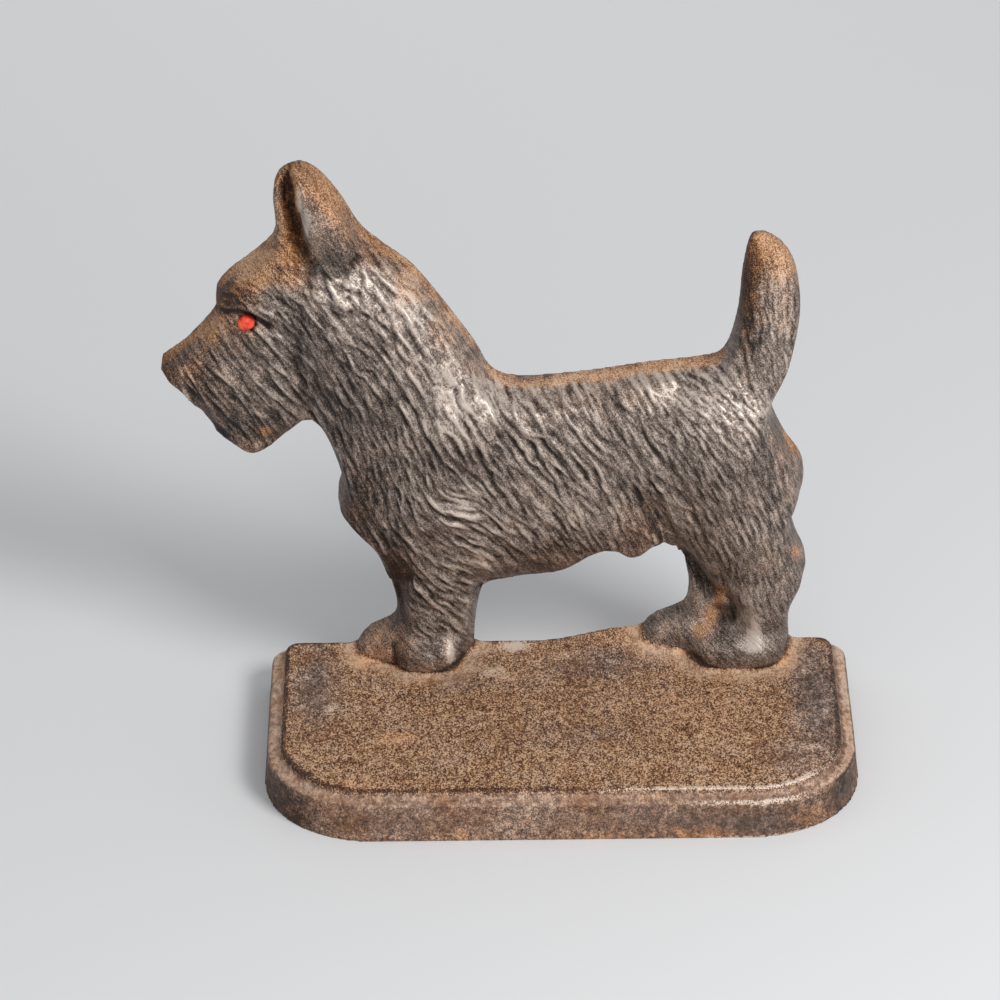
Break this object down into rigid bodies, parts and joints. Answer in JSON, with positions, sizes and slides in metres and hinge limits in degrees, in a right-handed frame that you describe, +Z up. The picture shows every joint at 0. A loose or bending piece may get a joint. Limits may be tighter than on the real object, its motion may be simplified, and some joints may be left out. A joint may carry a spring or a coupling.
{
  "type": "doorstop",
  "caption": "Flat-backed cast iron doorstop: a standing terrier in half relief with a pricked ear and upright tail, screwed to a stepped, round-cornered plinth.",
  "frame": {"origin": "middle of the whole object's box, on the floor", "axes": "+X along the dog from its nose to its tail, +Y towards its flat back, +Z up"},
  "size_m": [0.229, 0.1, 0.1993],
  "materials": {
    "dog_iron": "dark rubbed patina with burnished high points and rust along its top edges",
    "base_iron": "grainy as-cast skin, speckled rust brown",
    "screw_steel": "dull blackened steel",
    "eye_red": "worn red enamel"
  },
  "bodies": {
    "root": {"dog_casting": "dog_iron", "base_casting": "base_iron", "front_screw": "screw_steel", "rear_screw": "screw_steel", "eye_enamel": "eye_red"}
  },
  "joints": []
}
